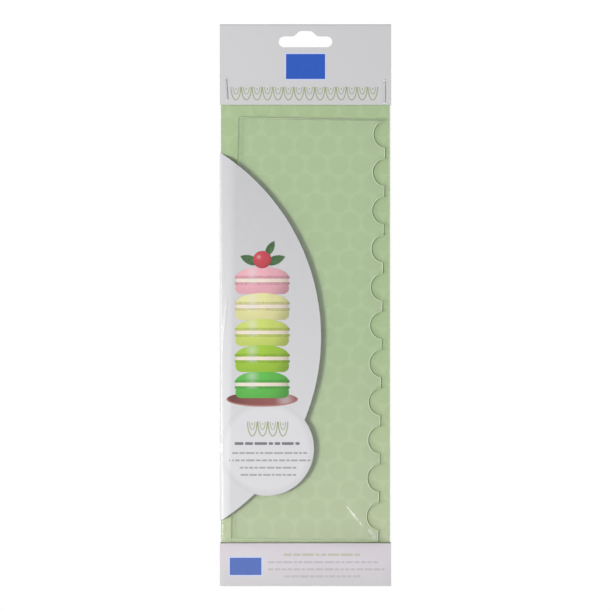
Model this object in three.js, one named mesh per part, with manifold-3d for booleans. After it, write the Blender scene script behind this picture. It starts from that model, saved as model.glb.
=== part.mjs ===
// A tall cake side scraper in its retail pack, in millimetres, +Z up, seen from the front along +Y.
// The scraper is a clear acrylic sheet with a scalloped working edge. It stands loose in the pocket of a
// clear film bag, against a printed card, and a folded header card with a hang slot is stapled over the
// bag's mouth. The origin is where a peg bears in the hang slot, in the plane of the bag's rear face.
import * as THREE from "three";
import { mergeVertices } from "three/addons/utils/BufferGeometryUtils.js";
import Module from "manifold-3d";

// Scraper: a laser-cut sheet, ten inches by three and a half.
const scraperLength = 254;
const scraperWidth = 88.9;
const scraperThickness = 3;
const scraperCornerRadius = 1.2;
const scraperTilt = THREE.MathUtils.degToRad(1);

// Scalloped edge: part-round notches with a flat tooth between two of them.
const notchRadius = 8.15;
const notchCentreOutside = 1.1;
const notchPitch = 22.95;
const bottomTooth = 7.4;

// Bag: two webs of film, welded along both sides and across the pocket's floor.
const filmThickness = 0.1;
const weldWidth = 0.3;
const roomLeftOfScraper = 6.7;
const roomRightOfScraper = 2.95;
const slideTravel = 6;
const skirtHeight = 25.7;
const mouthAboveHeaderEdge = 24;
const wallRun = 0.6;

// Printed card behind the scraper.
const cardThickness = 0.5;
const cardSideGap = 0.4;

// Folded header card and its hang slot.
const headerHeight = 48.4;
const headerBoard = 0.4;
const slotBelowTop = 3.9;
const slotWidth = 32.2;
const slotWingHeight = 6.6;
const slotHeight = 9.9;
const slotCrownWidth = 4.2;
const slotCrownFoot = 17;

// White printed panels on the front web: a large round field with a disc on its rim, and a bottom band.
const printThickness = 0.1;
const pictureRadius = 131.2;
const pictureCentreX = -121.9;
const pictureCentreBelowHeader = 139.4;
const discRadius = 28.3;
const discCentreX = -23.2;
const discCentreBelowHeader = 206.4;

// Staples: flattened wire, with its legs clinched behind the header.
const stapleCrown = 14;
const stapleWireWidth = 0.7;
const stapleWireThickness = 0.5;
const stapleBendRadius = 0.35;
const stapleClinch = 4;
const stapleFromEdge = 4;
const leftStapleAboveEdge = 9.5;
const rightStapleAboveEdge = 7.9;
const leftStapleLean = -4.2;
const staples = [
  { name: "staple_left", side: -1, aboveHeaderEdge: leftStapleAboveEdge, lean: leftStapleLean },
  { name: "staple_right", side: 1, aboveHeaderEdge: rightStapleAboveEdge, lean: 0 },
];

// Gaps: between flat layers, and round what is turned, slides or passes through a hole.
const layerGap = 0.1;
const runningGap = 0.3;

const arcSteps = 24;

// Places that follow from the sizes above.
const tiltedWidth = scraperWidth * Math.cos(scraperTilt) + scraperLength * Math.abs(Math.sin(scraperTilt));
const tiltedHeight = scraperLength * Math.cos(scraperTilt) + scraperWidth * Math.abs(Math.sin(scraperTilt));
const packWidth = roomLeftOfScraper + tiltedWidth + roomRightOfScraper;
const packLeft = -packWidth / 2;
const packRight = packWidth / 2;
const headerTop = slotBelowTop;
const headerEdge = headerTop - headerHeight;
const pocketCeiling = headerEdge - runningGap;
const pocketFloor = pocketCeiling - 2 * (wallRun + runningGap) - slideTravel - tiltedHeight;
const packBottom = pocketFloor - skirtHeight;
const bagMouth = headerEdge + mouthAboveHeaderEdge;
const scraperLeft = packLeft + roomLeftOfScraper;
const scraperRight = packRight - roomRightOfScraper;
const scraperBottom = pocketFloor + wallRun + runningGap;

// Depths of the layers, measured forward from the front face of the bag's rear web.
const cardLevel = layerGap + cardThickness + layerGap;
const scraperLevel = layerGap + cardThickness + runningGap;
const pocketLevel = scraperLevel + scraperThickness + runningGap;
const headerLevel = cardLevel + filmThickness + layerGap;

const wasm = await Module();
wasm.setup();

// A depth in front of the rear web, as a place along Y.
function atLevel(level) {
  return -filmThickness - level;
}

// A closed geometry as a solid that can be cut and joined.
function toSolid(geometry) {
  const bare = geometry.clone();
  bare.deleteAttribute("normal");
  bare.deleteAttribute("uv");
  const merged = mergeVertices(bare, 1e-4);
  return new wasm.Manifold(
    new wasm.Mesh({
      numProp: 3,
      vertProperties: new Float32Array(merged.attributes.position.array),
      triVerts: new Uint32Array(merged.index.array),
    }),
  );
}

// A solid back as a geometry with flat faces.
function toGeometry(solid) {
  const mesh = solid.getMesh();
  const geometry = new THREE.BufferGeometry();
  geometry.setAttribute("position", new THREE.BufferAttribute(new Float32Array(mesh.vertProperties), 3));
  geometry.setIndex(new THREE.BufferAttribute(new Uint32Array(mesh.triVerts), 1));
  const flat = geometry.toNonIndexed();
  flat.computeVertexNormals();
  return flat;
}

function cut(geometry, cutters) {
  return toGeometry(cutters.reduce((solid, cutter) => solid.subtract(toSolid(cutter)), toSolid(geometry)));
}

// An outline drawn in X and Z, as a plate whose rear face is at yRear.
function plate(outline, yRear, thickness) {
  const geometry = new THREE.ExtrudeGeometry(outline, {
    depth: thickness,
    bevelEnabled: false,
    curveSegments: arcSteps,
  });
  return geometry.rotateX(Math.PI / 2).translate(0, yRear, 0);
}

// An outline drawn in Y and Z, as a bar of the given width centred on X.
function bar(outline, width) {
  const geometry = new THREE.ExtrudeGeometry(outline, {
    depth: width,
    bevelEnabled: false,
    curveSegments: arcSteps / 2,
  });
  const turn = new THREE.Matrix4().makeBasis(
    new THREE.Vector3(0, 1, 0),
    new THREE.Vector3(0, 0, 1),
    new THREE.Vector3(1, 0, 0),
  );
  return geometry.translate(0, 0, -width / 2).applyMatrix4(turn);
}

function rectangle(left, bottom, right, top) {
  const outline = new THREE.Shape();
  outline.moveTo(left, bottom);
  outline.lineTo(right, bottom);
  outline.lineTo(right, top);
  outline.lineTo(left, top);
  outline.closePath();
  return outline;
}

// The scraper's outline from its lower left corner, with the notches up its right edge.
function scraperOutline() {
  const r = scraperCornerRadius;
  const halfChord = Math.sqrt(notchRadius ** 2 - notchCentreOutside ** 2);
  const notchAngle = Math.PI - Math.acos(notchCentreOutside / notchRadius);
  const firstNotch = bottomTooth + halfChord;
  const notchCount = Math.floor((scraperLength - firstNotch - halfChord) / notchPitch) + 1;
  const outline = new THREE.Shape();
  outline.moveTo(r, 0);
  outline.lineTo(scraperWidth - r, 0);
  outline.absarc(scraperWidth - r, r, r, -Math.PI / 2, 0, false);
  for (let i = 0; i < notchCount; i += 1) {
    const z = firstNotch + i * notchPitch;
    outline.lineTo(scraperWidth, z - halfChord);
    outline.absarc(scraperWidth + notchCentreOutside, z, notchRadius, -notchAngle, notchAngle, true);
  }
  outline.lineTo(scraperWidth, scraperLength);
  outline.lineTo(r, scraperLength);
  outline.absarc(r, scraperLength - r, r, Math.PI / 2, Math.PI, false);
  outline.lineTo(0, r);
  outline.absarc(r, r, r, Math.PI, 1.5 * Math.PI, false);
  return outline;
}

// The hang slot: a flat slot with round ends and a raised crown that finds the peg.
function slotOutline() {
  const endRadius = slotWingHeight / 2;
  const endCentre = slotWidth / 2 - endRadius;
  const wingTop = slotWingHeight - slotHeight;
  const crown = slotCrownWidth / 2;
  const foot = slotCrownFoot / 2;
  const shoulder = (crown + foot) / 2;
  const outline = new THREE.Shape();
  outline.moveTo(-endCentre, -slotHeight);
  outline.lineTo(endCentre, -slotHeight);
  outline.absarc(endCentre, wingTop - endRadius, endRadius, -Math.PI / 2, Math.PI / 2, false);
  outline.lineTo(foot, wingTop);
  outline.bezierCurveTo(shoulder, wingTop, shoulder, 0, crown, 0);
  outline.lineTo(-crown, 0);
  outline.bezierCurveTo(-shoulder, 0, -shoulder, wingTop, -foot, wingTop);
  outline.lineTo(-endCentre, wingTop);
  outline.absarc(-endCentre, wingTop - endRadius, endRadius, Math.PI / 2, 1.5 * Math.PI, false);
  return outline;
}

// The header's folded section, front leaf first: two leaves joined by a round fold along the top.
function headerSection() {
  const frontFace = atLevel(headerLevel + headerBoard);
  const rearFace = layerGap + headerBoard;
  const outerRadius = (rearFace - frontFace) / 2;
  const innerRadius = outerRadius - headerBoard;
  const middle = (rearFace + frontFace) / 2;
  const foldCentre = headerTop - outerRadius;
  const outline = new THREE.Shape();
  outline.moveTo(frontFace, headerEdge);
  outline.lineTo(frontFace, foldCentre);
  outline.absarc(middle, foldCentre, outerRadius, Math.PI, 0, true);
  outline.lineTo(rearFace, headerEdge);
  outline.lineTo(rearFace - headerBoard, headerEdge);
  outline.lineTo(rearFace - headerBoard, foldCentre);
  outline.absarc(middle, foldCentre, innerRadius, 0, Math.PI, false);
  outline.lineTo(frontFace + headerBoard, headerEdge);
  outline.closePath();
  return outline;
}

// A staple's outline, centred on the wire's crown: crown in front, legs through, tips folded to the middle.
function stapleSection() {
  const front = atLevel(headerLevel + headerBoard + layerGap + stapleWireThickness);
  const rear = 2 * layerGap + headerBoard + stapleWireThickness;
  const half = stapleCrown / 2;
  const tip = half - stapleClinch;
  const t = stapleWireThickness;
  const r = stapleBendRadius;
  const outline = new THREE.Shape();
  outline.moveTo(rear, tip);
  outline.lineTo(rear, half - r);
  outline.absarc(rear - r, half - r, r, 0, Math.PI / 2, false);
  outline.lineTo(front + r, half);
  outline.absarc(front + r, half - r, r, Math.PI / 2, Math.PI, false);
  outline.lineTo(front, r - half);
  outline.absarc(front + r, r - half, r, Math.PI, 1.5 * Math.PI, false);
  outline.lineTo(rear - r, -half);
  outline.absarc(rear - r, r - half, r, -Math.PI / 2, 0, false);
  outline.lineTo(rear, -tip);
  outline.lineTo(rear - t, -tip);
  outline.lineTo(rear - t, t - half);
  outline.lineTo(front + t, t - half);
  outline.lineTo(front + t, half - t);
  outline.lineTo(rear - t, half - t);
  outline.lineTo(rear - t, tip);
  outline.closePath();
  return outline;
}

// Where a staple is: its middle, and its lean about Y.
function stapleFrame({ side, aboveHeaderEdge, lean }) {
  const turn = new THREE.Matrix4().makeRotationY(THREE.MathUtils.degToRad(lean));
  return turn.setPosition(side * (packRight - stapleFromEdge), 0, headerEdge + aboveHeaderEdge);
}

// Blocks that cut the holes of every staple leg through the whole stack.
function stapleHoles() {
  const width = stapleWireWidth + 2 * runningGap;
  const height = stapleWireThickness + 2 * runningGap;
  const depth = 4 * (headerLevel + headerBoard);
  const fromMiddle = (stapleCrown - stapleWireThickness) / 2;
  return staples.flatMap((staple) =>
    [-fromMiddle, fromMiddle].map((z) =>
      new THREE.BoxGeometry(width, depth, height).translate(0, 0, z).applyMatrix4(stapleFrame(staple)),
    ),
  );
}

function ramp(value, from, to) {
  return THREE.MathUtils.clamp((value - from) / (to - from), 0, 1);
}

// Lines of the front web's grid: where its form starts, ends or bends.
const pocketLeft = scraperLeft - runningGap;
const pocketRight = scraperRight + runningGap;
const weldLeft = packLeft + weldWidth;
const weldRight = packRight - weldWidth;
const cardLeft = weldLeft + cardSideGap;
const cardRight = weldRight - cardSideGap;
const webColumns = [
  packLeft,
  weldLeft,
  cardLeft - layerGap,
  pocketLeft,
  pocketRight,
  cardRight + layerGap,
  weldRight,
  packRight,
].sort((a, b) => a - b);
const webRows = [
  packBottom,
  pocketFloor,
  pocketFloor + wallRun,
  pocketCeiling - wallRun,
  pocketCeiling,
  bagMouth,
];

// How far the front web stands off the rear one: over the card, and further over the scraper.
function webLevel(x, z) {
  const overCard =
    Math.min(ramp(x, weldLeft, cardLeft - layerGap), ramp(x, weldRight, cardRight + layerGap)) *
    ramp(z, pocketFloor, pocketFloor + wallRun);
  const overScraper = Math.min(
    ramp(x, weldLeft, pocketLeft),
    ramp(x, weldRight, pocketRight),
    ramp(z, pocketFloor, pocketFloor + wallRun),
    ramp(z, pocketCeiling, pocketCeiling - wallRun),
  );
  return layerGap + Math.max((cardLevel - layerGap) * overCard, (pocketLevel - layerGap) * overScraper);
}

// A sheet that follows the front web, standing off it, as a closed geometry over the grid's lines.
function drapedSheet(standOff, thickness) {
  const columns = webColumns.length;
  const rows = webRows.length;
  const positions = [];
  const index = [];
  for (const forward of [standOff, standOff + thickness]) {
    for (const z of webRows) {
      for (const x of webColumns) {
        positions.push(x, atLevel(webLevel(x, z) + forward), z);
      }
    }
  }
  const front = columns * rows;
  const quad = (a, b, c, d) => index.push(a, b, c, a, c, d);
  for (let j = 0; j + 1 < rows; j += 1) {
    for (let i = 0; i + 1 < columns; i += 1) {
      const a = j * columns + i;
      const b = a + 1;
      const c = b + columns;
      const d = a + columns;
      quad(front + a, front + b, front + c, front + d);
      quad(a, d, c, b);
    }
  }
  for (let i = 0; i + 1 < columns; i += 1) {
    const low = i;
    const high = (rows - 1) * columns + i;
    quad(low, low + 1, front + low + 1, front + low);
    quad(high + 1, high, front + high, front + high + 1);
  }
  for (let j = 0; j + 1 < rows; j += 1) {
    const left = j * columns;
    const right = left + columns - 1;
    quad(left + columns, left, front + left, front + left + columns);
    quad(right, right + columns, front + right + columns, front + right);
  }
  const geometry = new THREE.BufferGeometry();
  geometry.setAttribute("position", new THREE.Float32BufferAttribute(positions, 3));
  geometry.setIndex(index);
  return geometry;
}

// A column through the pack's whole depth, to cut a shape out of a draped sheet.
function through(outline) {
  const depth = 4 * pocketLevel;
  return toSolid(plate(outline, depth / 2, depth));
}

function disc(x, z, radius) {
  const outline = new THREE.Shape();
  outline.absarc(x, z, radius, 0, 2 * Math.PI, false);
  return outline;
}

function printedSheet() {
  return toSolid(drapedSheet(filmThickness + layerGap / 2, printThickness));
}

// The field and its disc, kept to the pocket between the header's edge and the band.
function picturePanel() {
  const field = through(disc(pictureCentreX, headerEdge - pictureCentreBelowHeader, pictureRadius));
  const badge = through(disc(discCentreX, headerEdge - discCentreBelowHeader, discRadius));
  const pocket = through(rectangle(packLeft, pocketFloor + layerGap, packRight, pocketCeiling));
  return toGeometry(printedSheet().intersect(field.add(badge)).intersect(pocket));
}

function bottomBand() {
  const skirt = through(rectangle(packLeft, packBottom, packRight, pocketFloor));
  return toGeometry(printedSheet().intersect(skirt));
}

function headerCard() {
  const depth = 4 * (headerLevel + headerBoard);
  const slot = plate(slotOutline(), depth / 2, depth);
  return cut(bar(headerSection(), packWidth), [slot, ...stapleHoles()]);
}

function insertCard() {
  const outline = rectangle(cardLeft, pocketFloor + wallRun, cardRight, bagMouth);
  return cut(plate(outline, atLevel(layerGap), cardThickness), stapleHoles());
}

function rearWeb() {
  const outline = rectangle(packLeft, packBottom, packRight, bagMouth);
  return cut(plate(outline, 0, filmThickness), stapleHoles());
}

function frontWeb() {
  return cut(drapedSheet(0, filmThickness), stapleHoles());
}

const looks = {
  acrylic: { color: 0xe6efe6, roughness: 0.05, metalness: 0, transparent: true, opacity: 0.3 },
  film: { color: 0xf2f4f2, roughness: 0.12, metalness: 0, transparent: true, opacity: 0.18 },
  greenCard: { color: 0xb0c29c, roughness: 0.6, metalness: 0 },
  whiteBoard: { color: 0xd6d6d9, roughness: 0.55, metalness: 0 },
  whitePrint: { color: 0xd8d7da, roughness: 0.35, metalness: 0 },
  steelWire: { color: 0xa6a8aa, roughness: 0.35, metalness: 1 },
};

function piece(name, geometry, look) {
  const mesh = new THREE.Mesh(geometry, new THREE.MeshStandardMaterial(look));
  mesh.name = name;
  return mesh;
}

const pack = new THREE.Group();
pack.add(
  piece("header_card", headerCard(), looks.whiteBoard),
  piece("bag_front_film", frontWeb(), looks.film),
  piece("bag_rear_film", rearWeb(), looks.film),
  piece("insert_card", insertCard(), looks.greenCard),
  piece("picture_panel", picturePanel(), looks.whitePrint),
  piece("bottom_band", bottomBand(), looks.whitePrint),
);

// The scraper leans in its pocket, with its lowest corner on the floor.
const scraperFrame = new THREE.Group();
const leanRight = Math.max(Math.sin(scraperTilt), 0) * scraperWidth;
const leanLeft = Math.max(-Math.sin(scraperTilt), 0) * scraperLength;
scraperFrame.position.set(scraperLeft + leanLeft, 0, scraperBottom + leanRight);
scraperFrame.rotation.y = scraperTilt;
const scraperSheet = plate(scraperOutline(), atLevel(scraperLevel), scraperThickness);
scraperFrame.add(piece("scraper", scraperSheet, looks.acrylic));
pack.add(scraperFrame);

for (const staple of staples) {
  const wire = piece(staple.name, bar(stapleSection(), stapleWireWidth), looks.steelWire);
  wire.applyMatrix4(stapleFrame(staple));
  pack.add(wire);
}

export default pack;
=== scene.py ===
import math

import bpy
import numpy as np
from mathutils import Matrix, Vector
from mathutils.geometry import delaunay_2d_cdt


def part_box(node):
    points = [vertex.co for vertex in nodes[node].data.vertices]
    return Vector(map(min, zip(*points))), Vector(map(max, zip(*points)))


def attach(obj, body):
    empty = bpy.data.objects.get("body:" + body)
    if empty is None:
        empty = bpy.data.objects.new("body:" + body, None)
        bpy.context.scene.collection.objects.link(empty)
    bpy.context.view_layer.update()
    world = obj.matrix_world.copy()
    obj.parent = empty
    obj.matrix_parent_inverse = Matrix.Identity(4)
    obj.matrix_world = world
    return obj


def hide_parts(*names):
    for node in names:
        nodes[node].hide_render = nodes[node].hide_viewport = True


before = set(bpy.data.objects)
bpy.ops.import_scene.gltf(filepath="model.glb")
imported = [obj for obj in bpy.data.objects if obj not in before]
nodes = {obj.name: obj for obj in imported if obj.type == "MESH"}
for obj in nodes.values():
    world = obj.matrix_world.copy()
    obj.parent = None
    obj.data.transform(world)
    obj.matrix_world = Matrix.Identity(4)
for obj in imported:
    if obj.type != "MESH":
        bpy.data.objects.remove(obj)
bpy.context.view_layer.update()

# Sizes in millimetres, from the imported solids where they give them. The front of the pack faces -Y.
MM = 0.001


def box_mm(name):
    """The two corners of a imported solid's box."""
    low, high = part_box(name)
    return np.array(low) / MM, np.array(high) / MM


film_lo, film_hi = box_mm("bag_front_film")
rear_lo, rear_hi = box_mm("bag_rear_film")
head_lo, _ = box_mm("header_card")
_, band_hi = box_mm("bottom_band")
scr_lo, scr_hi = box_mm("scraper")

FILM = 0.1
WELD = 0.3
LAYER_GAP = 0.1
RUNNING_GAP = 0.3
SCRAPER_LENGTH = 254
SCRAPER_WIDTH = 88.9
TILT = math.radians(1)

HALF = film_hi[0]
FOOT = HALF - WELD
FLOOR = band_hi[2]
HEAD_EDGE = head_lo[2]
HEAD_FACE = head_lo[1]
LEAN = SCRAPER_LENGTH * math.sin(TILT)
DROP = SCRAPER_WIDTH * math.sin(TILT)

# Film: its rise over the card and the scraper, the room beside the scraper, and the runs of its walls.
CARD_RISE = 0.6
POCKET_RISE = (rear_lo[1] - scr_lo[1]) + RUNNING_GAP - LAYER_GAP
WALL_POWER = 0.8
LEFT_ROOM = 0.5
RIGHT_ROOM = 0.4
MOUTH_RUN = 0.6
CARD_SIDE_RUN = 0.3
CARD_FLOOR_RUN = 0.5
SKIRT_RUN = 3

# Swells of the film: the height of each, its runs along X and Z, and where it starts.
POCKET_SWELL = 0.16
POCKET_WAVES = [(0.07, 17, 41, 0), (0.05, -31, 23, 1.3), (0.03, 13, 11, 0.4)]
SKIRT_SWELL = 0.12
SKIRT_WAVES = [(0.1, 9, 6, 0)]
REAR_SWELL = 0.5
REAR_WAVES = [(0.3, 15, 37, 0), (0.2, -27, 19, 0)]
REAR_HEIGHT = 0.28
REAR_MOUTH_ROOM = 2
REAR_MOUTH_RUN = 12
REAR_SIDE_RUN = 6

# Creases of the film: the points of each, its height and its width.
CREASES = [
    ([(25.5, -285), (31, -292.5), (36, -298.5), (38.4, -305.5)], 0.28, 1.5),
    ([(22, -289), (28, -295.5), (33, -302.5)], 0.2, 1.6),
    ([(-47.0, -160), (-47.6, -168), (-48.8, -180), (-49.8, -192)], 0.5, 0.7),
    ([(-38, -120), (-30, -150), (-27, -190)], 0.1, 3.5),
    ([(5, -296), (20, -300), (34, -304)], 0.16, 1.6),
    ([(20, -54), (32, -66), (36, -84)], 0.12, 3.0),
]
CREASE_REACH = 1.6
CREASE_END = 0.02


def rise(u):
    """A wall of film from its foot at 0 to its top at 1: steep at first, then rounding over."""
    return np.sin(np.pi / 2 * np.clip(u, 0, 1)) ** WALL_POWER


def waves(x, z, level, parts):
    """Adds swells to a level."""
    for height, along_x, along_z, start in parts:
        level = level + height * np.sin(x / along_x + z / along_z + start)
    return level


def ridge(x, z, path, height, width):
    """A crease along a path of points, fading out at both ends."""
    total = np.zeros_like(x)
    count = len(path) - 1
    for i in range(count):
        (ax, az), (bx, bz) = path[i], path[i + 1]
        dx, dz = bx - ax, bz - az
        t = np.clip(((x - ax) * dx + (z - az) * dz) / (dx * dx + dz * dz), 0, 1)
        away = np.hypot(x - ax - t * dx, z - az - t * dz)
        taper = np.sin(np.pi * np.clip((i + t) / count, CREASE_END, 1 - CREASE_END)) ** 0.5
        total = np.maximum(total, height * taper * np.exp(-((away / width) ** 2)))
    return total


def film_level(x, z):
    """How far the front web stands off the rear one."""
    x, z = np.asarray(x, float), np.asarray(z, float)
    along = np.clip((z - scr_lo[2]) / (scr_hi[2] - scr_lo[2]), 0, 1)
    left = scr_lo[0] + LEAN * along - LEFT_ROOM
    right = scr_hi[0] - LEAN * (1 - along) + RIGHT_ROOM
    across = np.clip((scr_hi[0] - x) / (scr_hi[0] - scr_lo[0]), 0, 1)
    bottom = scr_lo[2] - RUNNING_GAP + DROP * across
    pocket = (
        rise((x + FOOT) / (left + FOOT))
        * rise((FOOT - x) / (FOOT - right))
        * rise((z - FLOOR) / (bottom - FLOOR))
        * rise((HEAD_EDGE - RUNNING_GAP - z) / MOUTH_RUN)
    )
    card = np.clip((FOOT - np.abs(x)) / CARD_SIDE_RUN, 0, 1) * np.clip((z - FLOOR) / CARD_FLOOR_RUN, 0, 1)
    swell = waves(x, z, POCKET_SWELL, POCKET_WAVES)
    level = LAYER_GAP + np.maximum(CARD_RISE * card, (POCKET_RISE + swell) * pocket)
    for path, height, width in CREASES:
        level = level + ridge(x, z, path, height, width) * np.clip(pocket * CREASE_REACH, 0, 1)
    skirt = np.clip((FLOOR - z) / SKIRT_RUN, 0, 1) * np.clip((HALF - np.abs(x)) / SKIRT_RUN, 0, 1)
    return level + skirt * waves(x, z, SKIRT_SWELL, SKIRT_WAVES)


def film_face(x, z):
    """Where the front web's outer face is along Y."""
    return rear_lo[1] - film_level(x, z) - FILM


def rear_face(x, z):
    """Where the rear web's inner face is along Y."""
    below = np.clip((HEAD_EDGE - REAR_MOUTH_ROOM - z) / REAR_MOUTH_RUN, 0, 1)
    below = below * np.clip((HALF - np.abs(x)) / REAR_SIDE_RUN, 0, 1)
    return rear_lo[1] + REAR_HEIGHT * below * waves(x, z, REAR_SWELL, REAR_WAVES)


def header_face(x, z):
    """Where the header's front face is along Y."""
    return np.full_like(np.asarray(x, float), HEAD_FACE)


# Mesh helpers.
def new_object(name, verts, faces, mat, smooth=True):
    mesh = bpy.data.meshes.new(name)
    mesh.from_pydata([tuple(v) for v in verts], [], faces)
    mesh.update()
    mesh.polygons.foreach_set("use_smooth", [smooth] * len(mesh.polygons))
    mesh.materials.append(mat)
    obj = bpy.data.objects.new(name, mesh)
    bpy.context.scene.collection.objects.link(obj)
    return obj


def web(name, xs, zs, face, mat):
    """A closed sheet of film over a grid. face gives the side that looks to the front."""
    gx, gz = np.meshgrid(xs, zs)
    front = face(gx, gz)
    rows, cols = gx.shape
    sides = [np.stack([gx, y, gz], -1).reshape(-1, 3) * MM for y in (front, front + FILM)]
    half = rows * cols
    faces = []
    for j in range(rows - 1):
        for i in range(cols - 1):
            a = j * cols + i
            quad = (a, a + 1, a + cols + 1, a + cols)
            faces.append(quad)
            faces.append(tuple(half + k for k in reversed(quad)))
    rim = list(range(cols))
    rim += [j * cols + cols - 1 for j in range(1, rows)]
    rim += [(rows - 1) * cols + i for i in range(cols - 2, -1, -1)]
    rim += [j * cols for j in range(rows - 2, 0, -1)]
    for k, a in enumerate(rim):
        b = rim[(k + 1) % len(rim)]
        faces.append((b, a, half + a, half + b))
    return new_object(name, np.concatenate(sides), faces, mat)


def inside(poly, x, z):
    """Which points lie inside an outline."""
    px, pz = poly[:, 0], poly[:, 1]
    qx, qz = np.roll(px, -1), np.roll(pz, -1)
    hits = np.zeros(len(x), int)
    for ax, az, bx, bz in zip(px, pz, qx, qz):
        if az == bz:
            continue
        span = (az > z) != (bz > z)
        hits += span & (x < (bx - ax) * (z - az) / (bz - az) + ax)
    return hits % 2 == 1


# Grid lines lie close together where the film bends down to the left weld.
FINE_STEP = 0.45
LEFT_START = -HALF + 0.4
LEFT_NEAR = -HALF + 8
LEFT_END = -HALF + 12


def decal(name, outlines, lift, mat, ground=film_face, step=3.0, thickness=0.03):
    """Thin closed patches that follow what they are printed on, and stand off it by lift: printed ink, and the
    painted shade and painted highlights on the film.
    """
    verts, faces = [], []
    for outline in outlines:
        poly = np.asarray(outline, float)
        lo, hi = poly.min(0), poly.max(0)
        xs = np.arange(lo[0] + step / 2, hi[0], step)
        zs = np.arange(lo[1] + step / 2, hi[1], step)
        if lo[0] < LEFT_NEAR:
            xs = np.concatenate([np.arange(LEFT_START, min(LEFT_END, hi[0]), FINE_STEP), xs[xs > LEFT_END]])
        grid = np.array([(x, z) for x in xs for z in zs]).reshape(-1, 2)
        if len(grid):
            grid = grid[inside(poly, grid[:, 0], grid[:, 1])]
        count = len(poly)
        points = [Vector(p) for p in poly] + [Vector(p) for p in grid]
        edges = [(i, (i + 1) % count) for i in range(count)]
        found, _, tris = delaunay_2d_cdt(points, edges, [], 1, 1e-5)[:3]
        flat = np.array([tuple(p) for p in found])
        y = ground(flat[:, 0], flat[:, 1]) - lift
        base = sum(len(v) for v in verts)
        n = len(flat)
        front = np.stack([flat[:, 0], y - thickness, flat[:, 1]], -1)
        back = np.stack([flat[:, 0], y, flat[:, 1]], -1)
        verts += [front, back]
        uses = {}
        for a, b, c in tris:
            u, v = flat[b] - flat[a], flat[c] - flat[a]
            if u[0] * v[1] - u[1] * v[0] < 0:
                b, c = c, b
            faces.append((base + a, base + b, base + c))
            faces.append((base + n + a, base + n + c, base + n + b))
            for p, q in ((a, b), (b, c), (c, a)):
                uses[(p, q)] = True
        for p, q in uses:
            if (q, p) not in uses:
                faces.append((base + q, base + p, base + n + p, base + n + q))
    obj = new_object(name, np.concatenate(verts) * MM, faces, mat, smooth=False)
    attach(obj, "pack")
    return obj


# Outlines, in X and Z.
def arc(cx, cz, rx, rz, start, end, steps):
    angles = np.radians(np.linspace(start, end, steps))
    return [(cx + rx * math.cos(a), cz + rz * math.sin(a)) for a in angles]


def ellipse(cx, cz, rx, rz, steps=48):
    return arc(cx, cz, rx, rz, 0, 360, steps + 1)[:-1]


def rect(x0, z0, x1, z1):
    return [(x0, z0), (x1, z0), (x1, z1), (x0, z1)]


def frame_line(x0, z0, x1, z1, width):
    """The four bars of a thin frame."""
    return [
        rect(x0, z0, x1, z0 + width),
        rect(x0, z1 - width, x1, z1),
        rect(x0, z0 + width, x0 + width, z1 - width),
        rect(x1 - width, z0 + width, x1, z1 - width),
    ]


def lozenge(cx, cz, half, height, corner, steps=9):
    """A rounded bar."""
    h = height / 2
    c = min(corner, h)
    x, z = half - c, h - c
    points = arc(cx + x, cz - z, c, c, -90, 0, steps)
    points += arc(cx + x, cz + z, c, c, 0, 90, steps)
    points += arc(cx - x, cz + z, c, c, 90, 180, steps)
    points += arc(cx - x, cz - z, c, c, 180, 270, steps)
    return points


def leaf(x, z, length, width, turn, steps=14):
    """A pointed leaf from its stalk end."""
    t = np.linspace(0, 1, steps)
    side = width / 2 * np.sin(np.pi * t) ** 0.8
    pts = [(a * length, b) for a, b in zip(t, side)]
    pts += [(a * length, -b) for a, b in zip(t[-2:0:-1], side[-2:0:-1])]
    c, s = math.cos(math.radians(turn)), math.sin(math.radians(turn))
    return [(x + c * a - s * b, z + s * a + c * b) for a, b in pts]


def stroke(points, width):
    """A line of ink of one width."""
    p = np.asarray(points, float)
    d = np.gradient(p, axis=0)
    n = np.stack([-d[:, 1], d[:, 0]], -1) / np.linalg.norm(d, axis=1)[:, None]
    return [tuple(v) for v in p + n * width / 2] + [tuple(v) for v in (p - n * width / 2)[::-1]]


# Colours and node helpers. Where a helper takes a value or a colour, it may be another node's output.
def lin(*rgb):
    """A screen colour of 0 to 255 as linear light."""
    out = []
    for c in rgb:
        c = c / 255
        out.append(c / 12.92 if c <= 0.04045 else ((c + 0.055) / 1.055) ** 2.4)
    return (*out, 1.0)


def shade(colour, k):
    return (*[c * k for c in colour[:3]], 1.0)


def material(name):
    mat = bpy.data.materials.new(name)
    mat.use_nodes = True
    return mat, mat.node_tree, mat.node_tree.nodes["Principled BSDF"]


def fill(made, **inputs):
    """Sets a node's plain inputs. An underscore stands for the space in a name."""
    for key, value in inputs.items():
        made.inputs[key.replace("_", " ")].default_value = value
    return made


def new_node(nt, kind, **inputs):
    return fill(nt.nodes.new(kind), **inputs)


def own_coords(nt):
    """Places in the object's own frame."""
    return nt.nodes.new("ShaderNodeTexCoord").outputs["Object"]


def split(nt, vector):
    made = nt.nodes.new("ShaderNodeSeparateXYZ")
    nt.links.new(vector, made.inputs[0])
    return made.outputs


def maths(nt, operation, *values, clamp=False):
    made = nt.nodes.new("ShaderNodeMath")
    made.operation = operation
    made.use_clamp = clamp
    for socket, value in zip(made.inputs, values):
        if isinstance(value, (int, float)):
            socket.default_value = value
        else:
            nt.links.new(value, socket)
    return made.outputs[0]


def vectors(nt, operation, vector, constant=(0, 0, 0)):
    made = nt.nodes.new("ShaderNodeVectorMath")
    made.operation = operation
    nt.links.new(vector, made.inputs[0])
    made.inputs[1].default_value = constant
    return made.outputs


def share(nt, value, start, end):
    """0 where a value is at start, 1 where it is at end."""
    made = new_node(nt, "ShaderNodeMapRange", From_Min=start, From_Max=end)
    nt.links.new(value, made.inputs["Value"])
    return made.outputs["Result"]


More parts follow.
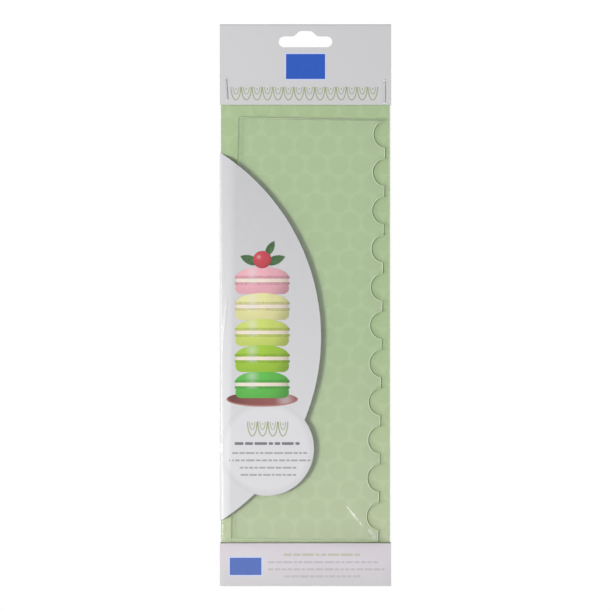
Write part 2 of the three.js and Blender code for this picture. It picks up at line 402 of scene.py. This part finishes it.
def spread(nt, value, low, high):
    """A value of 0 to 1 as one of low to high."""
    made = new_node(nt, "ShaderNodeMapRange", To_Min=low, To_Max=high)
    nt.links.new(value, made.inputs["Value"])
    return made.outputs["Result"]


def blend(nt, factor, first, second, kind="MIX"):
    """Mixes two colours."""
    made = nt.nodes.new("ShaderNodeMix")
    made.data_type = "RGBA"
    made.blend_type = kind
    nt.links.new(factor, made.inputs["Factor"])
    for socket, colour in (("A", first), ("B", second)):
        if isinstance(colour, tuple):
            made.inputs[socket].default_value = colour
        else:
            nt.links.new(colour, made.inputs[socket])
    return made.outputs["Result"]


def mix_shaders(nt, factor, first, second):
    made = nt.nodes.new("ShaderNodeMixShader")
    for socket, source in zip(made.inputs, (factor, first, second)):
        nt.links.new(source, socket)
    return made.outputs[0]


def mottle(nt, scale, low, high, detail=4.0, stretch=None):
    """Two close colours mixed by fine noise. Gives the noise and the colour."""
    noise = new_node(nt, "ShaderNodeTexNoise", Scale=scale, Detail=detail)
    place = own_coords(nt)
    if stretch is not None:
        mapping = new_node(nt, "ShaderNodeMapping", Scale=stretch)
        nt.links.new(place, mapping.inputs["Vector"])
        place = mapping.outputs["Vector"]
    nt.links.new(place, noise.inputs["Vector"])
    ramp = nt.nodes.new("ShaderNodeValToRGB")
    for stop, at, colour in zip(ramp.color_ramp.elements, (0.3, 0.7), (low, high)):
        stop.position = at
        stop.color = colour
    nt.links.new(noise.outputs["Fac"], ramp.inputs["Fac"])
    return noise.outputs["Fac"], ramp.outputs["Color"]


def bump(nt, bsdf, height, strength, distance):
    made = new_node(nt, "ShaderNodeBump", Strength=strength, Distance=distance)
    nt.links.new(height, made.inputs["Height"])
    nt.links.new(made.outputs["Normal"], bsdf.inputs["Normal"])


def fade(nt, colour, other, start, end):
    """Mixes a colour towards another one on the way down the piece, between two heights."""
    height = split(nt, own_coords(nt))["Z"]
    return blend(nt, share(nt, height, start * MM, end * MM), colour, other)


def lamps_through(nt, shader, see):
    """Lets lamps and bounced light pass straight through a clear piece, and gives the camera its shader."""
    path = nt.nodes.new("ShaderNodeLightPath").outputs
    lamps = mix_shaders(nt, path["Is Shadow Ray"], shader, see)
    bounce = mix_shaders(nt, path["Is Diffuse Ray"], lamps, see)
    nt.links.new(bounce, nt.nodes["Material Output"].inputs["Surface"])


def see_through(nt, colour):
    return new_node(nt, "ShaderNodeBsdfTransparent", Color=colour).outputs[0]


# Materials.
def paper(name, colour, roughness, vary=0.012, scale=900.0, strength=0.06):
    """Board or card: fibres a fraction of a millimetre long, and a slight mottle."""
    mat, nt, bsdf = material(name)
    noise, tone = mottle(nt, scale, shade(colour, 1 - vary), shade(colour, 1 + vary))
    nt.links.new(tone, bsdf.inputs["Base Color"])
    fill(bsdf, Roughness=roughness)
    bump(nt, bsdf, noise, strength, 0.04 * MM)
    return mat


def ink(name, colour, roughness=0.12, vary=0.04, scale=420.0):
    """Ink on film: glossy, with slightly uneven cover."""
    mat, nt, bsdf = material(name)
    _, tone = mottle(nt, scale, shade(colour, 1 - vary), shade(colour, 1 + vary), 3.0)
    nt.links.new(tone, bsdf.inputs["Base Color"])
    fill(bsdf, Roughness=roughness)
    return mat


def ink_with_painted_light(name, low, high, other, start, end):
    """White ink with painted light: its tone changes on the way down the piece."""
    mat, nt, bsdf = material(name)
    _, tone = mottle(nt, 300.0, low, high, 3.0)
    nt.links.new(fade(nt, tone, other, start, end), bsdf.inputs["Base Color"])
    fill(bsdf, Roughness=0.2)
    return mat


def disc_ink(centre, radius):
    """White ink that softens to the field's tone at the disc's rim."""
    mat, nt, bsdf = material("disc_print")
    away = vectors(nt, "DISTANCE", own_coords(nt), centre)["Value"]
    rim = share(nt, away, 0.85 * radius, radius)
    nt.links.new(blend(nt, rim, lin(223, 222, 225), lin(211, 211, 213)), bsdf.inputs["Base Color"])
    fill(bsdf, Roughness=0.1)
    return mat


def rounded_ink(name, colour, bright, reach, vary=0.03):
    """Ink of a printed round form: brightest about a point, darker away from it, with a fine grain."""
    mat, nt, bsdf = material(name)
    place = own_coords(nt)
    flat = vectors(nt, "MULTIPLY", place, (1, 0, 1))["Vector"]
    away = vectors(nt, "DISTANCE", flat, (bright[0] * MM, 0, bright[1] * MM))["Value"]
    ramp = nt.nodes.new("ShaderNodeValToRGB")
    ramp.color_ramp.interpolation = "EASE"
    stops = ramp.color_ramp.elements
    stops[0].color = tuple(0.3 + 0.7 * c for c in colour[:3]) + (1.0,)
    stops[1].color = shade(colour, 0.58)
    for at, k in ((0.22, 1.1), (0.55, 0.96)):
        stops.new(at).color = shade(colour, k)
    nt.links.new(share(nt, away, 0, reach * MM), ramp.inputs["Fac"])
    grain = new_node(nt, "ShaderNodeTexNoise", Scale=900.0, Detail=4.0)
    nt.links.new(place, grain.inputs["Vector"])
    dark = (1 - vary, 1 - vary, 1 - vary, 1)
    grainy = blend(nt, share(nt, grain.outputs["Fac"], 0.3, 0.7), ramp.outputs["Color"], dark, "MULTIPLY")
    nt.links.new(grainy, bsdf.inputs["Base Color"])
    fill(bsdf, Roughness=0.18)
    return mat


def green_card():
    """Green print with a faint honeycomb in a lighter tone, and a painted sheen that makes it paler and greyer
    towards the foot.
    """
    cell_pitch = 11.5
    mat, nt, bsdf = material("green_card")
    noise, tone = mottle(nt, 700.0, lin(174, 196, 148), lin(178, 199, 153))
    place = own_coords(nt)
    k = 2 * math.pi / (cell_pitch * MM)
    comb = None
    for angle in (30, 90, 150):
        a = math.radians(angle)
        phase = vectors(nt, "DOT_PRODUCT", place, (k * math.cos(a), 0, k * math.sin(a)))["Value"]
        wave = maths(nt, "COSINE", phase)
        comb = wave if comb is None else maths(nt, "ADD", comb, wave)
    cells = share(nt, comb, -0.86, -1.02)
    # Towards the foot the print turns paler and greyer: a painted sheen for the film's gloss.
    ground = fade(nt, tone, lin(192, 203, 165), -190, -305)
    nt.links.new(blend(nt, cells, ground, (1.07, 1.06, 1.09, 1), "MULTIPLY"), bsdf.inputs["Base Color"])
    fill(bsdf, Roughness=0.45)
    bump(nt, bsdf, noise, 0.04, 0.03 * MM)
    return mat


def clear_film():
    """Film: see-through, with a gloss that grows towards grazing."""
    mat, nt, bsdf = material("clear_film")
    nt.nodes.remove(bsdf)
    see = see_through(nt, (0.985, 0.99, 0.985, 1))
    gloss = new_node(nt, "ShaderNodeBsdfGlossy", Roughness=0.14).outputs[0]
    facing = new_node(nt, "ShaderNodeLayerWeight", Blend=0.5).outputs["Facing"]
    mirror = spread(nt, maths(nt, "POWER", facing, 4.0), 0.02, 0.6)
    lamps_through(nt, mix_shaders(nt, mirror, see, gloss), see)
    return mat


def painted_crease_highlight(name, cover):
    """A painted highlight on the film along a sharp crease: whitish and uneven, on its outer side."""
    mat, nt, bsdf = material(name)
    fill(bsdf, Base_Color=lin(246, 250, 238), Roughness=0.25)
    noise = new_node(nt, "ShaderNodeTexNoise", Scale=500.0, Detail=3.0)
    nt.links.new(own_coords(nt), noise.inputs["Vector"])
    uneven = maths(nt, "MULTIPLY", share(nt, noise.outputs["Fac"], 0.25, 0.65), cover)
    inner = nt.nodes.new("ShaderNodeNewGeometry").outputs["Backfacing"]
    outer = maths(nt, "SUBTRACT", uneven, inner, clamp=True)
    see = see_through(nt, (1, 1, 1, 1))
    lamps_through(nt, mix_shaders(nt, outer, see, bsdf.outputs[0]), see)
    return mat


def acrylic():
    """Clear cast acrylic. Lamps reach what is behind it."""
    mat, nt, bsdf = material("acrylic")
    fill(bsdf, Base_Color=(0.985, 1.0, 0.985, 1), Roughness=0.0, IOR=1.49)
    fill(bsdf, Specular_IOR_Level=0.25, Transmission_Weight=1.0)
    lamps_through(nt, bsdf.outputs[0], see_through(nt, (0.965, 0.975, 0.965, 1)))
    return mat


def painted_light_edge():
    """The rounded rim of the cut sheet, frosted, with painted light by the way each facet looks: a painted
    highlight (glow) beside the face, strongest where the rim looks to the right, then a painted dark line to
    the wall. Rims that look up get a pale painted highlight, and rims that look down flat tones, so they hardly
    show."""
    mat, nt, bsdf = material("acrylic_edge_painted_light")
    normal = nt.nodes.new("ShaderNodeNewGeometry").outputs["True Normal"]
    flat = vectors(nt, "MULTIPLY", normal, (1, 0, 1))["Vector"]
    outward = vectors(nt, "NORMALIZE", flat)["Vector"]
    down = share(nt, split(nt, outward)["Z"], -0.67, -0.95)
    parts = split(nt, normal)
    across, up = parts["X"], parts["Z"]
    facing = maths(nt, "ABSOLUTE", parts["Y"])
    away = maths(nt, "MULTIPLY_ADD", up, -0.15, across)
    # A painted dark line, darkest where the rim looks to the right.
    line = blend(nt, share(nt, across, -0.5, 0.5), lin(132, 148, 118), lin(38, 52, 32))
    painted_shade_to_wall = blend(nt, share(nt, facing, 0.4, 0.6), lin(150, 168, 136), line)
    # A painted highlight, brightest where the rim looks to the right.
    glow = blend(nt, share(nt, away, -0.26, 0.2), lin(148, 166, 128), lin(242, 255, 216))
    side = blend(nt, share(nt, facing, 0.8, 0.9), painted_shade_to_wall, glow)
    # A pale painted highlight on rims that look up.
    upper = blend(nt, share(nt, up, 0.55, 0.7), side, lin(226, 243, 209))
    # Flat painted tones for rims that look down, so that they hardly show.
    faint = blend(nt, share(nt, facing, 0.8, 0.9), lin(206, 226, 184), lin(176, 194, 154))
    nt.links.new(blend(nt, down, upper, faint), bsdf.inputs["Base Color"])
    fill(bsdf, Roughness=0.4, Specular_IOR_Level=0.05)
    lamps_through(nt, bsdf.outputs[0], see_through(nt, (0.7, 0.75, 0.67, 1)))
    return mat


def cut_wall():
    """The cut through the sheet's thickness, frosted by the cutter."""
    mat, nt, bsdf = material("acrylic_wall")
    _, tone = mottle(nt, 1600.0, lin(172, 190, 160), lin(184, 201, 172))
    nt.links.new(tone, bsdf.inputs["Base Color"])
    fill(bsdf, Roughness=0.4)
    lamps_through(nt, bsdf.outputs[0], see_through(nt, (0.93, 0.95, 0.92, 1)))
    return mat


def steel():
    """Galvanised staple wire, drawn lengthwise."""
    mat, nt, bsdf = material("steel_wire")
    noise, tone = mottle(nt, 2400.0, lin(196, 198, 201), lin(212, 214, 216), 3.0, (1, 1, 0.12))
    nt.links.new(tone, bsdf.inputs["Base Color"])
    fill(bsdf, Metallic=1.0, Roughness=0.42)
    bump(nt, bsdf, noise, 0.2, 0.04 * MM)
    return mat


board = paper("white_board", lin(213, 212, 214), 0.42)
# Painted light: the white field is painted lighter lower down, and the band darker at its foot.
white_print = ink_with_painted_light("white_print", lin(201, 201, 204), lin(204, 204, 207), lin(217, 217, 219), -96, -240)
band_print = ink_with_painted_light("band_print", lin(219, 213, 219), lin(221, 215, 221), lin(210, 208, 211), -318, -332)
film = clear_film()
blue = ink("blue_ink", lin(30, 86, 190), 0.3, 0.03)
hazy_blue = ink("hazy_blue_ink", lin(86, 112, 186), 0.25, 0.03)
pale = ink("pale_ink", lin(208, 218, 246), 0.3, 0.02)
sage = ink("sage_ink", lin(160, 172, 132), 0.3, 0.08)
grey = ink("grey_ink", lin(122, 122, 128), 0.2, 0.05)
light_grey = ink("light_grey_ink", lin(172, 171, 175), 0.2, 0.03)
faint_grey = ink("faint_grey_ink", lin(197, 192, 194), 0.2, 0.03)
faint_sage = ink("faint_sage_ink", lin(195, 197, 182), 0.2, 0.03)
# The next ink is dark, for painted shade along the pocket's floor.
fold_painted_shade = ink("fold_painted_shade", lin(112, 118, 98), 0.3, 0.05)


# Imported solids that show: each gets its materials, in the order of its slots.
def dress(name, *mats):
    slots = nodes[name].data.materials
    slots.clear()
    for mat in mats:
        slots.append(mat)


FACE_SLOT, EDGE_SLOT, WALL_SLOT = 0, 1, 2
dress("scraper", acrylic(), painted_light_edge(), cut_wall())
for face in nodes["scraper"].data.polygons:
    face.material_index = WALL_SLOT if abs(face.normal.y) < 0.5 else FACE_SLOT
dress("insert_card", green_card())
dress("header_card", board)
dress("staple_left", steel())
dress("staple_right", steel())

# Worked edges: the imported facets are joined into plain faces, then the sheet's rims and the wire are rounded.
RIM_ROUND = 0.92
WIRE_ROUND = 0.16
HORN_REACH = 6.0
HORN_LEAST = 0.08


def weigh_rims(mesh):
    """Marks the sheet's rims to be rounded, less and less towards the sharp horn at the top right."""
    weight = mesh.attributes.new("bevel_weight_edge", "FLOAT", "EDGE")
    horn = max((v.co for v in mesh.vertices), key=lambda co: co.x + co.z)
    for rim in mesh.edges:
        a, b = (mesh.vertices[i].co for i in rim.vertices)
        if abs(a.y - b.y) < 0.01 * MM:
            away = math.hypot((a.x + b.x) / 2 - horn.x, (a.z + b.z) / 2 - horn.z)
            weight.data[rim.index].value = min(1.0, max(HORN_LEAST, away / (HORN_REACH * MM)))


def round_edges(name, width, limit, slot):
    join = nodes[name].modifiers.new("join", "WELD")
    join.merge_threshold = 0.001 * MM
    flat = nodes[name].modifiers.new("flat", "DECIMATE")
    flat.decimate_type = "DISSOLVE"
    flat.angle_limit = math.radians(0.5)
    edge = nodes[name].modifiers.new("edge", "BEVEL")
    edge.width = width * MM
    edge.segments = 3
    edge.limit_method = limit
    edge.angle_limit = math.radians(50)
    edge.material = slot
    edge.use_clamp_overlap = limit == "ANGLE"


weigh_rims(nodes["scraper"].data)
round_edges("scraper", RIM_ROUND, "WEIGHT", EDGE_SLOT)
round_edges("staple_left", WIRE_ROUND, "ANGLE", 0)
round_edges("staple_right", WIRE_ROUND, "ANGLE", 0)

# Bag film, front and rear. Grid lines lie close together along the walls and where the front web is creased.
COARSE_STEP = 2.0
CREASE_STEP = 0.4
FLOOR_STEP = 0.3
MOUTH_STEP = 0.2
SKIRT_STEP = 1.6
HIDDEN_STEP = 3.0
LEFT_WALL_END = -37
CREASED_LEFT, CREASED_RIGHT = 25, 43
SKIRT_TOP = FLOOR - 1.5
CREASED_FOOT, CREASED_TOP = FLOOR + 4, FLOOR + 26
MOUTH_FOOT = HEAD_EDGE - 3


def grid_lines(last, *stretches):
    """Grid lines in stretches, each of a start, an end and a step, and the last line."""
    return np.concatenate([np.arange(*stretch) for stretch in stretches] + [[last]])


front_xs = grid_lines(
    HALF,
    (-HALF, LEFT_WALL_END, FINE_STEP),
    (LEFT_WALL_END, CREASED_LEFT, COARSE_STEP),
    (CREASED_LEFT, CREASED_RIGHT, CREASE_STEP),
    (CREASED_RIGHT, HALF - 0.1, FINE_STEP),
)
front_zs = grid_lines(
    film_hi[2],
    (film_lo[2], SKIRT_TOP, SKIRT_STEP),
    (SKIRT_TOP, CREASED_FOOT, FLOOR_STEP),
    (CREASED_FOOT, CREASED_TOP, CREASE_STEP),
    (CREASED_TOP, MOUTH_FOOT, COARSE_STEP),
    (MOUTH_FOOT, HEAD_EDGE + MOUTH_STEP, MOUTH_STEP),
    (HEAD_EDGE + 2 * MOUTH_STEP, film_hi[2] - 0.5, HIDDEN_STEP),
)
front = web("film_front", front_xs, front_zs, film_face, film)
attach(front, "pack")
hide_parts("bag_front_film")

rear_xs = np.linspace(-HALF, HALF, 52)
rear_zs = np.linspace(rear_lo[2], rear_hi[2], 120)
rear = web("film_rear", rear_xs, rear_zs, rear_face, film)
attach(rear, "pack")
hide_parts("bag_rear_film")

# How far each layer of ink stands off the board or the film.
ON_BOARD = 0.01
ON_FILM = 0.05
ON_FIELD = 0.09
ON_BAND = 0.12
ON_DISC = 0.14
ON_DISC_BOLD = 0.16

# White print on the front web: the round field with its disc, and the band. A circle is its centre and
# radius.
FIELD = (-121.9, HEAD_EDGE - 139.4, 131.2)
DISC = (-23.2, HEAD_EDGE - 206.4, 28.3)
DISC_INSET = 0.05
FOLD_SHADE_FOOT = 0.02
FOLD_SHADE_HEIGHT = 0.8


def field_outline():
    """The part of the field's circle that lies on the pack, with the disc joined to its rim."""
    (cx, cz, big), (dx, dz, small) = FIELD, DISC
    apart = math.hypot(dx - cx, dz - cz)
    along = (apart**2 + big**2 - small**2) / (2 * apart)
    off = math.sqrt(big**2 - along**2)
    ux, uz = (dx - cx) / apart, (dz - cz) / apart
    upper = (cx + along * ux - off * uz, cz + along * uz + off * ux)
    lower = (cx + along * ux + off * uz, cz + along * uz - off * ux)
    edge = math.degrees(math.acos((-HALF - cx) / big))

    def angle(p, x, z):
        return math.degrees(math.atan2(p[1] - z, p[0] - x))

    turn_in, turn_out = angle(upper, dx, dz), angle(lower, dx, dz)
    if turn_out >= turn_in:
        turn_out -= 360
    points = arc(cx, cz, big, big, edge, angle(upper, cx, cz), 70)
    points += arc(dx, dz, small, small, turn_in, turn_out, 60)[1:]
    points += arc(cx, cz, big, big, angle(lower, cx, cz), -edge, 24)[1:]
    return points


field = decal("print_field", [field_outline()], ON_FILM, white_print, step=2.5, thickness=0.04)
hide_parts("picture_panel")
band_outline = rect(-HALF, film_lo[2], HALF, FLOOR)
band = decal("print_band", [band_outline], ON_FILM, band_print, step=2.5, thickness=0.04)
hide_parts("bottom_band")
# Painted shade: a dark line along the pocket's floor, where the film folds down past the scraper's bottom edge.
fold_shade_outline = rect(-FOOT, FLOOR + FOLD_SHADE_FOOT, FOOT, FLOOR + FOLD_SHADE_HEIGHT)
decal("floor_fold_painted_shade", [fold_shade_outline], ON_FILM, fold_painted_shade, step=0.4)
disc_centre = (DISC[0] * MM, float(film_face(DISC[0], DISC[1])) * MM, DISC[1] * MM)
disc_print = disc_ink(disc_centre, DISC[2] * MM)
disc_radius = DISC[2] - DISC_INSET
decal("print_disc", [ellipse(DISC[0], DISC[1], disc_radius, disc_radius, 96)], ON_FIELD, disc_print)

# Along the sharp crease at the lower right, the film's gloss is painted on as whitish marks: a painted
# highlight streak, and a painted sheen at its foot. Each is shaped like a leaf: where it starts, its length,
# width and turn.
HIGHLIGHT_STREAK = (24.0, -284.6, 17.5, 1.5, -51)
SHEEN_PATCH = (37.6, -298.8, 8.6, 3.4, -57)
MARK_STEP = 0.7
decal("film_crease", [leaf(*HIGHLIGHT_STREAK)], ON_FILM, painted_crease_highlight("painted_crease_highlight", 0.85), step=MARK_STEP)
decal("film_crease_haze", [leaf(*SHEEN_PATCH)], ON_FILM, painted_crease_highlight("painted_crease_sheen", 0.45), step=MARK_STEP)

# Other print, all plain shapes: blocks, festoons for titles, bars for lines of words, a stack of sweets.
# A block is its left, bottom, right and top.
HEADER_BLOCK = (-11.7, -29.0, 11.8, -14.0)
BAND_BLOCK = (-45.5, -327.1, -26.5, -316.7)
KEYLINE = 0.8

# A festoon is its left, right, top, sag and number of loops.
HEADER_FESTOON = (-45.0, 43.6, -33.8, 7.8, 14)
DISC_FESTOON = (-35.0, -10.4, -234.8, 8.6, 4)
FESTOON_LINE = 0.6

# A row of words is its middle, half width, place and height.
BAND_TITLE = [(9.8, 23, -314.9, 1.5)]
BAND_ROWS = [(10.6, 33, -319.4, 1.2), (12.6, 35, -323.7, 1.2), (10, 23, -327.9, 1.2)]
DISC_TITLE = [(-23, 19.5, -247.9, 1.6)]
DISC_ROWS = [
    (-21.5, 22.5, -253.6, 1.1),
    (-21.5, 24.5, -258.0, 1.1),
    (-22.5, 17, -262.4, 1.1),
    (-22, 17, -266.7, 1.1),
]
SHORTEST_WORD = 0.8


def block(name, box, lift, mat, ground):
    """A bare block with a pale line round it."""
    x0, z0, x1, z1 = box
    rim = frame_line(x0 - KEYLINE, z0 - KEYLINE, x1 + KEYLINE, z1 + KEYLINE, KEYLINE)
    decal(name + "_block", [rect(x0, z0, x1, z1)], lift, mat, ground)
    decal(name + "_keyline", rim, lift, pale, ground)


def festoon(name, row, lift, ground):
    """A row of hanging loops, each with a smaller one and a dot in it."""
    x0, x1, top, sag, count = row
    width = FESTOON_LINE
    pitch = (x1 - x0) / count
    loops, dots = [], []
    for i in range(count):
        cx = x0 + (i + 0.5) * pitch
        loops.append(stroke(arc(cx, top, pitch / 2 - 0.25, sag, 180, 360, 25), width))
        loops.append(stroke(arc(cx, top, pitch / 2 - 1.5, sag * 0.55, 180, 360, 21), width * 0.7))
        dots.append(ellipse(cx, top - sag * 0.16, width * 0.75, width * 0.75, 14))
    decal(name, loops + dots, lift, sage, ground)


def bars(name, rows, lift, mat):
    """Lines of words as rows of plain bars, of uneven lengths that are the same each time."""
    outlines = []
    draw = 7
    for cx, half, z, height in rows:
        x = cx - half
        while x < cx + half - SHORTEST_WORD:
            draw = (draw * 73 + 41) % 101
            length = min(height * (1.6 + draw / 28), cx + half - x)
            outlines.append(lozenge(x + length / 2, z, length / 2, height, height * 0.3, 3))
            x += length + height * 0.6
    decal(name, outlines, lift, mat)


block("header", HEADER_BLOCK, ON_BOARD, blue, header_face)
festoon("header_festoon", HEADER_FESTOON, ON_BOARD, header_face)
block("band", BAND_BLOCK, ON_BAND, hazy_blue, film_face)
bars("band_bars_top", BAND_TITLE, ON_BAND, faint_sage)
bars("band_bars", BAND_ROWS, ON_BAND, faint_grey)
festoon("disc_festoon", DISC_FESTOON, ON_DISC, film_face)
bars("disc_bars_top", DISC_TITLE, ON_DISC_BOLD, grey)
bars("disc_bars", DISC_ROWS, ON_DISC, light_grey)

# The stack: a plate, five sweets of two shells with frills and cream between them, three leaves and a berry.
STACK_X = -26.0
STACK_FOOT = -221.0
STACK_HALF = 16.5
STACK_PITCH = 15.6
PLATE_HALF, PLATE_DEPTH, PLATE_RIM = 21.5, 3.9, 0.6
RIM_DEPTH, RIM_DROP = 4.4, 0.4
FIRST_SWEET = 0.4
SWEET_HEIGHT = 13.2
SHELL_HALF = STACK_HALF - 0.5
LOWER_PLACE, LOWER_HEIGHT, LOWER_CORNER = 3.6, 7.2, 3.4
DOME_DROP, DOME_RISE = 3.4, 6.4
FRILL_PLACES, FRILL_HEIGHT, FRILL_CORNER = (6.3, 10.0), 1.7, 0.8
CREAM_HALF = STACK_HALF - 0.9
CREAM_PLACE, CREAM_HEIGHT, CREAM_CORNER = 8.15, 2.1, 1.0
BRIGHT_X = STACK_X - 6
BRIGHT_PLACE = 8
BRIGHT_REACH = 25
BERRY_PLACE, BERRY_HALF, BERRY_RISE = 5.0, 5.4, 5.2
LEAVES = [(-1, 2.2, 13, 5.4, 158), (1, 2.2, 13.5, 5.4, 20), (2, 6.5, 11, 4.4, 62)]
SWEETS = {
    "green": lin(92, 182, 74),
    "lime": lin(156, 196, 58),
    "pale_lime": lin(200, 214, 108),
    "butter": lin(226, 222, 160),
    "pink": lin(232, 172, 184),
}

# How far each layer of the stack's ink stands off the film.
RIM_LIFT = 0.12
PLATE_LIFT = 0.16
SHELL_LIFT = 0.2
FRILL_LIFT = 0.24
CREAM_LIFT = 0.27
LEAF_LIFT = 0.3
BERRY_LIFT = 0.34


def sweet(tone, colour, foot):
    """One sweet: its lower shell and its dome, two frills, and the cream between them."""
    top = foot + SWEET_HEIGHT
    bright = (BRIGHT_X, foot + BRIGHT_PLACE)
    shell_ink = rounded_ink(tone + "_ink", colour, (BRIGHT_X, top), BRIGHT_REACH)
    frill_ink = rounded_ink(tone + "_frill_ink", shade(colour, 0.86), bright, BRIGHT_REACH, 0.25)
    cream_ink = rounded_ink(tone + "_cream_ink", lin(236, 222, 206), bright, BRIGHT_REACH)
    lower = lozenge(STACK_X, foot + LOWER_PLACE, SHELL_HALF, LOWER_HEIGHT, LOWER_CORNER)
    dome = arc(STACK_X, top - DOME_DROP, SHELL_HALF, DOME_RISE, 0, 180, 40)
    frills = [lozenge(STACK_X, foot + z, STACK_HALF, FRILL_HEIGHT, FRILL_CORNER) for z in FRILL_PLACES]
    cream = lozenge(STACK_X, foot + CREAM_PLACE, CREAM_HALF, CREAM_HEIGHT, CREAM_CORNER)
    decal("stack_" + tone, [lower, dome], SHELL_LIFT, shell_ink)
    decal("stack_%s_frill" % tone, frills, FRILL_LIFT, frill_ink)
    decal("stack_%s_cream" % tone, [cream], CREAM_LIFT, cream_ink)


plate_ink = rounded_ink("plate_ink", lin(142, 84, 80), (STACK_X + 14, STACK_FOOT - 1), 34)
rim_ink = ink("rim_ink", lin(176, 124, 116))
rim_outline = ellipse(STACK_X, STACK_FOOT - RIM_DROP, PLATE_HALF, RIM_DEPTH)
plate_outline = ellipse(STACK_X, STACK_FOOT, PLATE_HALF - PLATE_RIM, PLATE_DEPTH)
decal("stack_plate_rim", [rim_outline], RIM_LIFT, rim_ink)
decal("stack_plate", [plate_outline], PLATE_LIFT, plate_ink)
foot = STACK_FOOT + FIRST_SWEET
for tone, colour in SWEETS.items():
    sweet(tone, colour, foot)
    foot += STACK_PITCH
leaf_ink = ink("leaf_ink", lin(66, 104, 60), vary=0.3)
berry_ink = rounded_ink("berry_ink", lin(196, 66, 78), (STACK_X - 2, foot + 6.6), 9)
leaves = [leaf(STACK_X + x, foot + z, *form) for x, z, *form in LEAVES]
decal("stack_leaves", leaves, LEAF_LIFT, leaf_ink)
decal("stack_berry", [ellipse(STACK_X, foot + BERRY_PLACE, BERRY_HALF, BERRY_RISE)], BERRY_LIFT, berry_ink)

# Camera: a long lens straight at the front, framing the photograph's square. The frame is in millimetres, and
# places from here on are in metres.
FRAME_WIDTH = 366.0
CENTRE_X, CENTRE_Z = -0.3, -164.8
DISTANCE = 2.0
FRONT_DEPTH = 0.004
SENSOR = 36
cam_data = bpy.data.cameras.new("camera")
cam_data.sensor_width = SENSOR
cam_data.lens = SENSOR * (DISTANCE - FRONT_DEPTH) / (FRAME_WIDTH * MM)
camera = bpy.data.objects.new("camera", cam_data)
camera.location = (CENTRE_X * MM, -DISTANCE, CENTRE_Z * MM)
camera.rotation_euler = (math.pi / 2, 0, 0)
bpy.context.scene.collection.objects.link(camera)
bpy.context.scene.camera = camera


# Light: an even room, a soft key from the front left, a soft lamp behind on the right, and a narrow strip at
# the left that only mirroring surfaces show, such as the film's left wall.
def lamp(name, size, place, aim, watts):
    data = bpy.data.lights.new(name, "AREA")
    data.shape = "RECTANGLE"
    data.size, data.size_y = size
    data.energy = watts
    obj = bpy.data.objects.new(name, data)
    obj.location = place
    obj.rotation_euler = (Vector(aim) - Vector(place)).to_track_quat("-Z", "Y").to_euler()
    bpy.context.scene.collection.objects.link(obj)
    return obj


MIDDLE = (0, 0, CENTRE_Z * MM)
key = lamp("key", (0.45, 0.45), (-1.05, -1.25, -0.36), MIDDLE, 20)
back = lamp("back", (0.9, 0.9), (1.05, 1.25, 0.1), MIDDLE, 20)
for soft in (key, back):
    soft.visible_glossy = False
    soft.visible_transmission = False
strip = lamp("strip", (0.12, 1.8), (-1.0, 0.03, -0.4), (0, 0, -0.4), 6)
strip.visible_diffuse = False


def seen(nt):
    """1 for rays that show the background: from the camera, and from mirrors and glass before any bounce."""
    path = nt.nodes.new("ShaderNodeLightPath").outputs
    direct = maths(nt, "MAXIMUM", path["Is Camera Ray"], path["Is Glossy Ray"])
    direct = maths(nt, "MAXIMUM", direct, path["Is Transmission Ray"])
    fresh = maths(nt, "LESS_THAN", path["Diffuse Depth"], 0.5)
    return maths(nt, "MULTIPLY", direct, fresh)


ROOM = 0.34
world = bpy.data.worlds.new("room")
bpy.context.scene.world = world
world.use_nodes = True
room = world.node_tree
backdrop = fill(room.nodes["Background"], Color=(1, 1, 1, 1))
room.links.new(spread(room, seen(room), ROOM, 1.0), backdrop.inputs["Strength"])

# Floor: pale, well below the hanging pack, and clear from underneath. Where it is looked at, a glow is added,
# so that it is as white as the background and still takes shadows.
FLOOR_HALF = 2.0
FLOOR_DROP = 1.0
FLOOR_GLOW = 0.72
floor_mat, ft, floor_bsdf = material("floor")
fill(floor_bsdf, Base_Color=(0.85, 0.85, 0.85, 1), Roughness=0.9)
glow = ft.nodes.new("ShaderNodeEmission")
ft.links.new(maths(ft, "MULTIPLY", seen(ft), FLOOR_GLOW), glow.inputs["Strength"])
upper_side = ft.nodes.new("ShaderNodeAddShader")
ft.links.new(floor_bsdf.outputs[0], upper_side.inputs[0])
ft.links.new(glow.outputs[0], upper_side.inputs[1])
underneath = ft.nodes.new("ShaderNodeNewGeometry").outputs["Backfacing"]
floor_shader = mix_shaders(ft, underneath, upper_side.outputs[0], see_through(ft, (1, 1, 1, 1)))
ft.links.new(floor_shader, ft.nodes["Material Output"].inputs["Surface"])
floor_z = film_lo[2] * MM - FLOOR_DROP
floor_verts = [(x, y, floor_z) for x, y in rect(-FLOOR_HALF, -FLOOR_HALF, FLOOR_HALF, FLOOR_HALF)]
floor = new_object("floor", floor_verts, [(0, 1, 2, 3)], floor_mat, smooth=False)

bpy.context.scene.view_settings.view_transform = "Standard"
